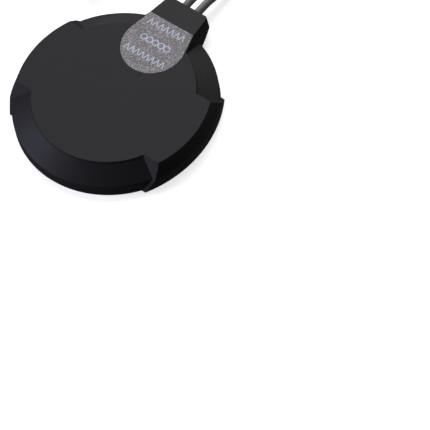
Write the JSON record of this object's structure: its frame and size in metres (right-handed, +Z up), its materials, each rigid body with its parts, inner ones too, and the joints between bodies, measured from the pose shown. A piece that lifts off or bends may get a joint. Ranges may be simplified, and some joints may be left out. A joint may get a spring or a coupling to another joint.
{
  "type": "antenna puck",
  "caption": "Low round adhesive-mount antenna puck with stepped conical rim, a sky-facing label and coaxial leads ending in threaded plugs.",
  "frame": {"origin": "centre of the disc on the underside of the adhesive pad, the face that is stuck down", "axes": "+Z up, away from the mounting surface and towards the sky; +Y along the outlet tab, the way the leads leave; +X to the right seen with the tab pointing away"},
  "size_m": [0.0923, 0.1604, 0.0102],
  "materials": {
    "cover_plastic": "fine moulded texture, satin black",
    "base_plastic": "moulded black",
    "gasket_rubber": "soft black",
    "screw_steel": "plain steel",
    "pad_foam": "dark grey acrylic foam",
    "label_film": "silver-grey speckled film with pale blue print",
    "board_laminate": "green solder mask",
    "tape_film": "double-sided tape",
    "patch_ceramic": "unglazed tan ceramic",
    "patch_silver": "fired silver",
    "tinned_wire": "bright tin",
    "tin_plate": "tin-plated sheet",
    "chip_resin": "moulded resin",
    "frame_plastic": "natural white",
    "element_brass": "stamped sheet",
    "lead_jacket": "extruded black jacket, slight sheen",
    "tie_nylon": "black strap",
    "sleeve_rubber": "shrunk black sleeve",
    "plug_gold": "gold-plated",
    "plug_nickel": "nickel-plated",
    "plug_ptfe": "white fluoropolymer",
    "ring_steel": "spring wire"
  },
  "bodies": {
    "root": {"amplifier_chips": "chip_resin", "base_gasket": "gasket_rubber", "base_plate": "base_plastic", "base_screws": "screw_steel", "board_screws": "screw_steel", "cellular_bush": "gasket_rubber", "cellular_coil": "lead_jacket", "cellular_element": "element_brass", "cellular_lead": "lead_jacket", "cellular_lead_end": "lead_jacket", "cellular_lead_tail": "lead_jacket", "cellular_plug_body": "plug_gold", "cellular_plug_ferrule": "plug_gold", "cellular_plug_insulator": "plug_ptfe", "cellular_plug_pin": "plug_gold", "cellular_plug_ring": "ring_steel", "cellular_plug_sleeve": "sleeve_rubber", "cellular_tie": "tie_nylon", "circuit_board": "board_laminate", "clamp_screws": "screw_steel", "cover": "cover_plastic", "element_frame": "frame_plastic", "gnss_bush": "gasket_rubber", "gnss_coil": "lead_jacket", "gnss_lead": "lead_jacket", "gnss_lead_end": "lead_jacket", "gnss_lead_tail": "lead_jacket", "gnss_plug_body": "plug_gold", "gnss_plug_ferrule": "plug_gold", "gnss_plug_insulator": "plug_ptfe", "gnss_plug_pin": "plug_gold", "gnss_plug_ring": "ring_steel", "gnss_plug_sleeve": "sleeve_rubber", "gnss_tie": "tie_nylon", "lead_clamp": "base_plastic", "mounting_pad": "pad_foam", "patch_ceramic": "patch_ceramic", "patch_electrode": "patch_silver", "patch_pin": "tinned_wire", "patch_tape": "tape_film", "shield_can": "tin_plate", "sky_label": "label_film", "solder_joints": "tinned_wire"},
    "gnss_nut": {"gnss_plug_nut": "plug_nickel"},
    "cellular_nut": {"cellular_plug_nut": "plug_nickel"}
  },
  "joints": [
    {"name": "gnss_nut_spin", "type": "hinge", "parent": "root", "child": "gnss_nut", "pos_m": [-0.04117, 0.10821, 0.0041], "axis": [-0.9462, 0.3237, 0], "continuous": true},
    {"name": "cellular_nut_spin", "type": "hinge", "parent": "root", "child": "cellular_nut", "pos_m": [-0.03887, 0.03793, 0.0041], "axis": [0.2329, -0.9725, 0], "continuous": true}
  ]
}
